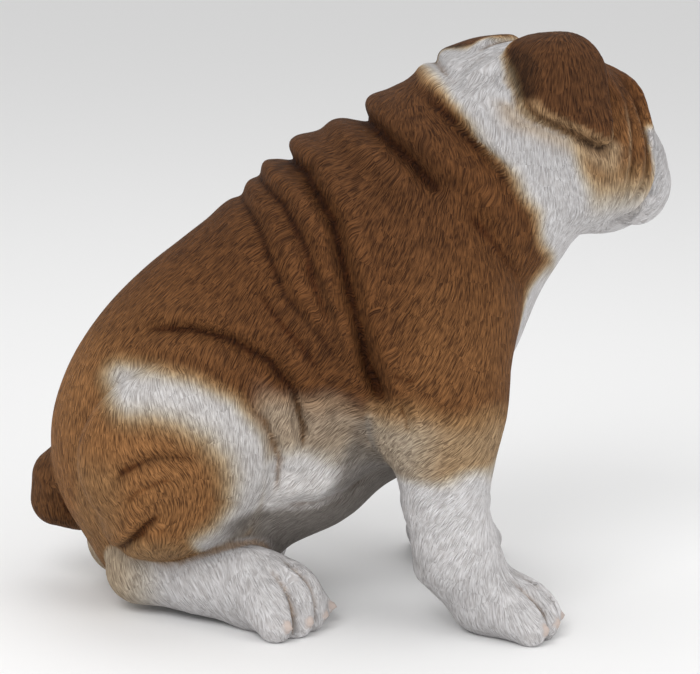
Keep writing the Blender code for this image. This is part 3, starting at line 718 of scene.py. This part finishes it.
def hollows(points, normals, edges):
    # How far each point lies below the mean of its surroundings, at a small and at a wide size.
    wide = points
    for _ in range(coat["hollowRounds"]):
        wide = neighbourMean(wide, edges)
    near = neighbourMean(neighbourMean(points, edges), edges)
    return ((near - points) * normals).sum(axis=1), ((wide - points) * normals).sum(axis=1)


def lineShare(seen, line, start, fade):
    # How far each point is from a line, and a share that rises from its first end and falls to its last.
    away, along = linePlace(seen, line)
    return away, ramp(along, start, fade[0]) * ramp(1 - along, start, fade[1])


def creaseShade(paint, at, normals, edges, white):
    # Painted shade by how hollow the skin is, a painted highlight by how much it stands out, and a line
    # of painted shade, 1 - creaseLine * exp(-(away / 0.5)²), down the middle of the deep folds.
    fine, wide = hollows(at.points, normals, edges)
    behindEar = at.inHead * ramp(at.aside, 4, 7) * ramp(at.earEdge, 0.5, 1.2) * ramp(5 - at.earEdge, 0, 2)
    crease = 0.75 * ramp(wide, 0.08, 0.9) * (1 - 0.8 * behindEar)
    crease = crease + 0.9 * ramp(fine, 0.03, 0.18) * (1 - 0.5 * white)
    crease = crease * (1 - 0.45 * at.inHead * ramp(at.forward, 2, 4) * ramp(13 - at.forward, 0, 2))
    hollowShade = np.array(coat["hollowShade"]) - 1
    # painted highlight on the ridges
    ridge = coat["ridgeGain"] * ramp(-wide, 0.08, 0.8)
    # painted shade darkens the hollows and a painted highlight pales the ridges
    paint = paint * (1 + hollowShade * np.clip(crease, 0, 1)[:, None]) * (1 + ridge)[:, None]
    for seen, folds in ((at.points, deepBodyFolds), (at.hindSeen, deepThighFolds)):
        for fold in folds:
            fade = (fold.fade[0] + 0.02, fold.fade[1] + 0.02)
            away, shown = lineShare(seen, fold.line, -0.01, fade)
            shown = shown * ramp(at.side, fold.span[0], fold.span[0] + 2) * (1 - at.inHead)
            # painted shade line down the middle of each deep fold
            paint = paint * (1 - coat["creaseLine"] * shown * np.exp(-(away / 0.5) ** 2))[:, None]
    return paint


def earEdges(paint, at):
    # A tan skin below the flap, painted shade in the crease around it and a pale rim on its lower edge,
    # each a bell curve of the distance from the ear's outline.
    nearHead = at.inHead * ramp(at.aside, 4, 7)
    belowLine = 4.5 - at.up - 0.45 * (at.forward + 13)
    below = np.exp(-((at.earEdge - 2.0) / 1.6) ** 2) * ramp(belowLine, 0, 2) * nearHead
    paint = mixed(paint, coat["sand"], 0.65 * below * (1 - at.onEar))
    lowerEdge = ramp(belowLine, -1.0, 1.0)
    # painted shade in the crease around the ear's flap
    around = np.exp(-((at.earEdge - 0.35) / 0.42) ** 2) * nearHead
    around = around * (1 - 0.6 * lowerEdge * ramp(-3.5 - at.forward, -1, 1))
    paint = paint * (1 - 0.75 * around)[:, None]
    rim = np.exp(-((at.earEdge + 0.25) / 0.38) ** 2) * at.onEar * lowerEdge
    return mixed(paint, coat["earRim"], 0.85 * rim)


def cheekLines(paint, at):
    # Painted shade as a dark line along each wrinkle of the cheek, and a painted highlight in sand just
    # behind it.
    for fold in cheekFolds:
        away, shown = lineShare(at.inHeadFrame, fold.line, 0, (0.15, 0.15))
        shown = at.inHead * ramp(at.aside, 6, 9) * shown
        # painted shade in the wrinkle
        paint = paint * (1 - 0.2 * shown * np.exp(-(away / 0.5) ** 2))[:, None]
        # painted highlight just behind the wrinkle
        behind = shown * ramp(4 - at.up, 0, 4) * np.exp(-((away + 1.1) / 0.35) ** 2)
        paint = mixed(paint, coat["sand"], 0.45 * behind)
    return paint


def faceAndClaws(paint, at):
    # Claws, nose, mouth, lids and eyes; returns also how bare of fur each point is, and how glossy.
    q = at.inHeadFrame
    claw = ramp(0.30 - clawDistance(at.points), 0, 0.25)
    nose = ramp(0.35 - massDistance(q, headMasses["nose"]), 0, 0.35)
    mouthAway, _ = linePlace(q[:, [1, 0, 2]], markings["mouth"])
    mouth = np.exp(-(mouthAway / 0.55) ** 2) * ramp(at.forward, 14, 18) * at.inHead
    fromEye = massDistance(q, eyeMass)
    lids = np.exp(-((fromEye - 0.5) / 0.5) ** 2) * ramp(at.forward, 13, 14) * at.inHead
    eye = ramp(0.22 - fromEye, 0, 0.2) * ramp(at.forward, 13.6, 14.6)
    paint = mixed(paint, coat["clawPink"], claw)
    paint = mixed(paint, coat["noseBlack"], nose)
    paint = mixed(paint, coat["noseBlack"], 0.8 * mouth)
    paint = mixed(paint, coat["darkBrown"], 0.85 * lids)
    paint = mixed(paint, coat["eyeBlack"], eye)
    return paint, np.maximum.reduce([eye, nose, claw]), np.clip(eye + 0.3 * nose, 0, 1)


def coatPaint(points, normals, edges):
    # The paint of every point, and how white, how bare and how glossy it is.
    at = placesOn(points)
    flank = flankPaling(at)
    band = thighBand(at)
    white = bodyWhite(at, flank, band) * (1 - at.inHead) + headWhite(at) * at.inHead
    aroundEar = ramp(1.6 - at.earEdge, 0, 1.6) * at.nearEar * (1 - at.onEar)
    white = np.minimum(white, 1 - 0.75 * aroundEar)
    paint = coatColours(at, white, flank, band)
    paint = underShade(paint, at, normals, white)
    paint = creaseShade(paint, at, normals, edges, white)
    paint = cheekLines(earEdges(paint, at), at)
    paint, bare, gloss = faceAndClaws(paint, at)
    return paint, white, bare, gloss


strokes = {
    "long": 0.0078,         # about half the length of a carved hair, metres
    "pitch": 0.00077,       # about half the spacing of the hairs
    "tuft": 0.0140,         # size of the tufts over which the hairs keep one run
    "tuftEdge": (0.30, 0.55),           # in tufts from one's middle: where the second set takes over
    "secondSet": (0.37, 0.53, 0.19),    # how far the second set's tufts are moved, metres
    "slices": 40.0,         # how far apart the tufts read the noise
    "noiseSpan": (0.33, 0.67),          # of the noise, from valley to crest
    "noiseRoughness": 0.55,
    "depth": 0.0022,        # of the bump, metres
    "strength": 0.9,
    # what the coat's paint is multiplied by, on brown and on white
    "valley": ((0.42, 0.38, 0.36, 1), (0.74, 0.715, 0.70, 1)),
    "crest": ((1.62, 1.62, 1.58, 1), (1.18, 1.18, 1.18, 1)),
    # from the dry paint of the fur to the varnish of the eyes
    "roughness": (0.72, 0.16),
    "specular": (0.1, 0.5),
}


def carvedFurPaint():
    # Painted resin: a noise drawn out along the fur in each tuft sets both the bump and how far the
    # coat's paint goes from its valley's tone to its crest's.
    material = bpy.data.materials.new("carvedFurPaint")
    material.use_nodes = True
    tree = material.node_tree
    shader = tree.nodes["Principled BSDF"]

    def node(kind, **settings):
        made = tree.nodes.new(kind)
        for name, value in settings.items():
            setattr(made, name, value)
        return made

    def feed(socket, value):
        # a node's output is linked, and a plain value is set
        if isinstance(value, bpy.types.NodeSocket):
            tree.links.new(value, socket)
        else:
            socket.default_value = value

    def number(operation, one, other):
        made = node("ShaderNodeMath", operation=operation)
        feed(made.inputs[0], one)
        feed(made.inputs[1], other)
        return made.outputs[0]

    def vector(operation, one, other, output="Vector"):
        made = node("ShaderNodeVectorMath", operation=operation)
        feed(made.inputs[0], one)
        feed(made.inputs[1], other)
        return made.outputs[output]

    def spanned(value, fromSpan, toSpan, kind="LINEAR"):
        made = node("ShaderNodeMapRange", interpolation_type=kind)
        feed(made.inputs["Value"], value)
        for end, low in (("Min", 0), ("Max", 1)):
            made.inputs["From " + end].default_value = fromSpan[low]
            made.inputs["To " + end].default_value = toSpan[low]
        return made.outputs["Result"]

    def colourMix(share, one, other, blend="MIX"):
        made = node("ShaderNodeMix", data_type="RGBA", blend_type=blend)
        feed(made.inputs["Factor"], share)
        feed(made.inputs[6], one)
        feed(made.inputs[7], other)
        return made.outputs[2]

    def onSkin(name, output="Fac"):
        return node("ShaderNodeAttribute", attribute_name=name).outputs[output]

    coordinates = node("ShaderNodeTexCoord").outputs["Object"]
    across = onSkin("acrossFur", "Vector")
    along = onSkin("alongFur", "Vector")

    def carvedHairs(shift):
        # in each tuft the noise is read at (across / pitch, along / long, a slice of the tuft's own)
        place = vector("ADD", coordinates, shift)
        tufts = node("ShaderNodeTexVoronoi", voronoi_dimensions="3D", feature="F1")
        feed(tufts.inputs["Vector"], place)
        tufts.inputs["Scale"].default_value = 1 / strokes["tuft"]
        offset = vector("SUBTRACT", place, tufts.outputs["Position"])
        drawn = node("ShaderNodeCombineXYZ")
        acrossBy = vector("DOT_PRODUCT", offset, across, "Value")
        alongBy = vector("DOT_PRODUCT", offset, along, "Value")
        feed(drawn.inputs[0], number("MULTIPLY", acrossBy, 1 / strokes["pitch"]))
        feed(drawn.inputs[1], number("MULTIPLY", alongBy, 1 / strokes["long"]))
        feed(drawn.inputs[2], number("MULTIPLY", tufts.outputs["Color"], strokes["slices"]))
        made = node("ShaderNodeTexNoise", noise_dimensions="3D")
        feed(made.inputs["Vector"], drawn.outputs[0])
        made.inputs["Scale"].default_value = 1.0
        made.inputs["Detail"].default_value = 1.0
        made.inputs["Roughness"].default_value = strokes["noiseRoughness"]
        return made.outputs["Fac"], tufts.outputs["Distance"]

    firstHairs, fromMiddle = carvedHairs((0.0, 0.0, 0.0))
    secondHairs, _ = carvedHairs(strokes["secondSet"])
    bothHairs = node("ShaderNodeMix", data_type="FLOAT")
    feed(bothHairs.inputs["Factor"], spanned(fromMiddle, strokes["tuftEdge"], (0, 1), "SMOOTHSTEP"))
    feed(bothHairs.inputs[2], firstHairs)
    feed(bothHairs.inputs[3], secondHairs)
    hairs = bothHairs.outputs[0]

    white = onSkin("whiteness")
    gloss = onSkin("gloss")
    furred = number("SUBTRACT", 1.0, onSkin("bare"))
    tone = spanned(hairs, strokes["noiseSpan"], (0, 1))
    carved = colourMix(tone, colourMix(white, *strokes["valley"]), colourMix(white, *strokes["crest"]))
    shade = colourMix(furred, (1, 1, 1, 1), carved)
    feed(shader.inputs["Base Color"], colourMix(1.0, onSkin("coatPaint", "Color"), shade, "MULTIPLY"))
    feed(shader.inputs["Roughness"], spanned(gloss, (0, 1), strokes["roughness"]))
    feed(shader.inputs["Specular IOR Level"], spanned(gloss, (0, 1), strokes["specular"]))
    bump = node("ShaderNodeBump")
    bump.inputs["Distance"].default_value = strokes["depth"]
    bump.inputs["Strength"].default_value = strokes["strength"]
    feed(bump.inputs["Height"], number("MULTIPLY", hairs, furred))
    feed(shader.inputs["Normal"], bump.outputs["Normal"])
    return material


def setAttribute(mesh, name, kind, values):
    # One number, vector or colour for each of the mesh's points; a colour gets an alpha of 1.
    key = {"FLOAT": "value", "FLOAT_VECTOR": "vector", "FLOAT_COLOR": "color"}[kind]
    if kind == "FLOAT_COLOR":
        values = np.column_stack([values, np.ones(len(values))])
    mesh.attributes.new(name, kind, "POINT").data.foreach_set(key, values.astype(np.float32).ravel())


def makeStatue(frame):
    skin, points, edges = fineStatueSkin(frame["nodes"]["bulldog"])
    normals = np.empty(len(skin.vertices) * 3)
    skin.vertices.foreach_get("normal", normals)
    normals = normals.reshape(-1, 3)
    paint, white, bare, gloss = coatPaint(points, normals, edges)
    across = np.cross(normals, furWay(points))
    across /= np.linalg.norm(across, axis=1)[:, None] + 1e-9
    placePoints(skin, points + (lockRelief(points, across) * (1 - bare))[:, None] * normals)
    print("locks of fur raised")

    setAttribute(skin, "coatPaint", "FLOAT_COLOR", paint)
    setAttribute(skin, "acrossFur", "FLOAT_VECTOR", across)
    setAttribute(skin, "alongFur", "FLOAT_VECTOR", np.cross(across, normals))
    setAttribute(skin, "whiteness", "FLOAT", white)
    setAttribute(skin, "bare", "FLOAT", bare)
    setAttribute(skin, "gloss", "FLOAT", gloss)
    skin.materials.append(carvedFurPaint())
    skin.polygons.foreach_set("use_smooth", np.ones(len(skin.polygons), bool))
    skin.name = "bulldogStatue"
    statue = bpy.data.objects.new("bulldogStatue", skin)
    bpy.context.collection.objects.link(statue)
    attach(statue, "root")
    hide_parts("bulldog")
    print("statue painted:", len(skin.polygons), "faces")


studio = {
    "floorHalf": 20.0,      # metres from the middle to the floor's edge
    "floor": (0.83, 0.83, 0.83, 1),
    "floorRoughness": 0.9,
    "sky": (1.0, 1.0, 1.0, 1),
    "skyStrength": 0.75,
    "aim": (0, 0, 0.18),    # where the lights point, metres
    "lights": {
        # name: place, size, power
        "key": ((-0.9, -1.9, 1.9), 1.3, 34),
        "fill": ((1.7, -1.3, 0.9), 1.4, 12),
        "top": ((0.0, 0.4, 2.2), 1.6, 7),
    },
}


def makeFloor():
    # One square face at the height of the ground.
    half = studio["floorHalf"]
    mesh = bpy.data.meshes.new("floor")
    corners = [(-half, -half, 0), (half, -half, 0), (half, half, 0), (-half, half, 0)]
    mesh.from_pydata(corners, [], [(0, 1, 2, 3)])
    floor = bpy.data.objects.new("floor", mesh)
    bpy.context.collection.objects.link(floor)
    material = bpy.data.materials.new("paleFloor")
    material.use_nodes = True
    shader = material.node_tree.nodes["Principled BSDF"]
    shader.inputs["Base Color"].default_value = studio["floor"]
    shader.inputs["Roughness"].default_value = studio["floorRoughness"]
    mesh.materials.append(material)


def makeStudio():
    makeFloor()
    world = bpy.data.worlds.new("studio")
    bpy.context.scene.world = world
    world.use_nodes = True
    sky = world.node_tree.nodes["Background"]
    sky.inputs["Color"].default_value = studio["sky"]
    sky.inputs["Strength"].default_value = studio["skyStrength"]
    for name, (place, size, power) in studio["lights"].items():
        lamp = bpy.data.lights.new(name, "AREA")
        lamp.size = size
        lamp.energy = power
        lit = bpy.data.objects.new(name, lamp)
        lit.location = place
        lit.rotation_mode = "QUATERNION"
        lit.rotation_quaternion = (Vector(studio["aim"]) - Vector(place)).to_track_quat("-Z", "Y")
        bpy.context.collection.objects.link(lit)
    bpy.context.scene.view_settings.view_transform = "Standard"
    print("studio ready")


photoCamera = {
    "azimuth": -4.0,        # degrees, from straight at the dog's right side
    "elevation": 12.0,
    "roll": 1.8,
    "distance": 1.70,
    "target": (-0.0007, -0.0136, 0.176),
    "pixelsPerMetre": 1540.0,   # at the target, in an image 700 pixels wide
    "imageWidth": 700,
    "sensorWidth": 36.0,
}


def makeCamera():
    # Back, right and up axes from the azimuth and elevation, the last two turned by the roll.
    azimuth, elevation, roll = (math.radians(photoCamera[k]) for k in ("azimuth", "elevation", "roll"))
    back = Vector((math.sin(azimuth) * math.cos(elevation),
                   -math.cos(azimuth) * math.cos(elevation),
                   math.sin(elevation)))
    level = (-back).cross(Vector((0, 0, 1))).normalized()
    above = level.cross(-back)
    right = level * math.cos(roll) + above * math.sin(roll)
    up = above * math.cos(roll) - level * math.sin(roll)
    place = Vector(photoCamera["target"]) + back * photoCamera["distance"]
    lens = bpy.data.cameras.new("photoCamera")
    lens.sensor_width = photoCamera["sensorWidth"]
    imageMetres = photoCamera["imageWidth"] / photoCamera["pixelsPerMetre"]
    lens.lens = lens.sensor_width * photoCamera["distance"] / imageMetres
    camera = bpy.data.objects.new("photoCamera", lens)
    camera.matrix_world = Matrix((
        (right.x, up.x, back.x, place.x),
        (right.y, up.y, back.y, place.y),
        (right.z, up.z, back.z, place.z),
        (0, 0, 0, 1)))
    bpy.context.collection.objects.link(camera)
    bpy.context.scene.camera = camera
    print("camera set")


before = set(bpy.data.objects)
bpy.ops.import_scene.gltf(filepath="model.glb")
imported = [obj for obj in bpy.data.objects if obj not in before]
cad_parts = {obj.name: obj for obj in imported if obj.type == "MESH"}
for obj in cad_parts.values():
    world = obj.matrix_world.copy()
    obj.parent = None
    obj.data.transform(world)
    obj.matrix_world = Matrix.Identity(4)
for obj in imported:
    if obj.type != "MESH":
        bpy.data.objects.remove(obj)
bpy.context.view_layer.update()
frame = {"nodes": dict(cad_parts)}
makeStatue(frame)
makeStudio()
makeCamera()
